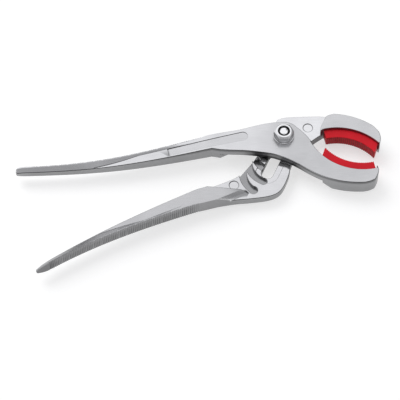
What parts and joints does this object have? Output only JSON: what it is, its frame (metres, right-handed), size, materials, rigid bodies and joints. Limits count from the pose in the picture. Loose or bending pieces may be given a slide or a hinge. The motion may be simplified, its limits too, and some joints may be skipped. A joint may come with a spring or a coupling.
{
  "type": "connector pliers",
  "caption": "Slip-joint pliers with long curved handles and wide round jaws that carry soft toothed inserts, for turning round connectors by hand.",
  "frame": {"origin": "on the pivot axis, at the face of the bolt's head that the pliers rest on", "axes": "+Z along the pivot axis toward the nut, +X along the pliers toward the jaws, +Y across, toward the upper jaw"},
  "size_m": [0.2496, 0.1254, 0.0219],
  "materials": {
    "plated_steel": "bright nickel plating over forged steel, flat faces ground",
    "fastener_steel": "bright plating",
    "red_plastic": "moulded, satin"
  },
  "bodies": {
    "rear": {"rear_lever": "plated_steel", "upper_insert": "red_plastic", "pivot_bolt": "fastener_steel", "washer": "fastener_steel", "hex_nut": "fastener_steel"},
    "front": {"front_lever": "plated_steel", "lower_insert": "red_plastic"}
  },
  "joints": [
    {"name": "lever_pivot", "type": "hinge", "parent": "rear", "child": "front", "pos_m": [0, 0, 0.00925], "axis": [0, 0, -1], "range_deg": [-6, 43]}
  ]
}
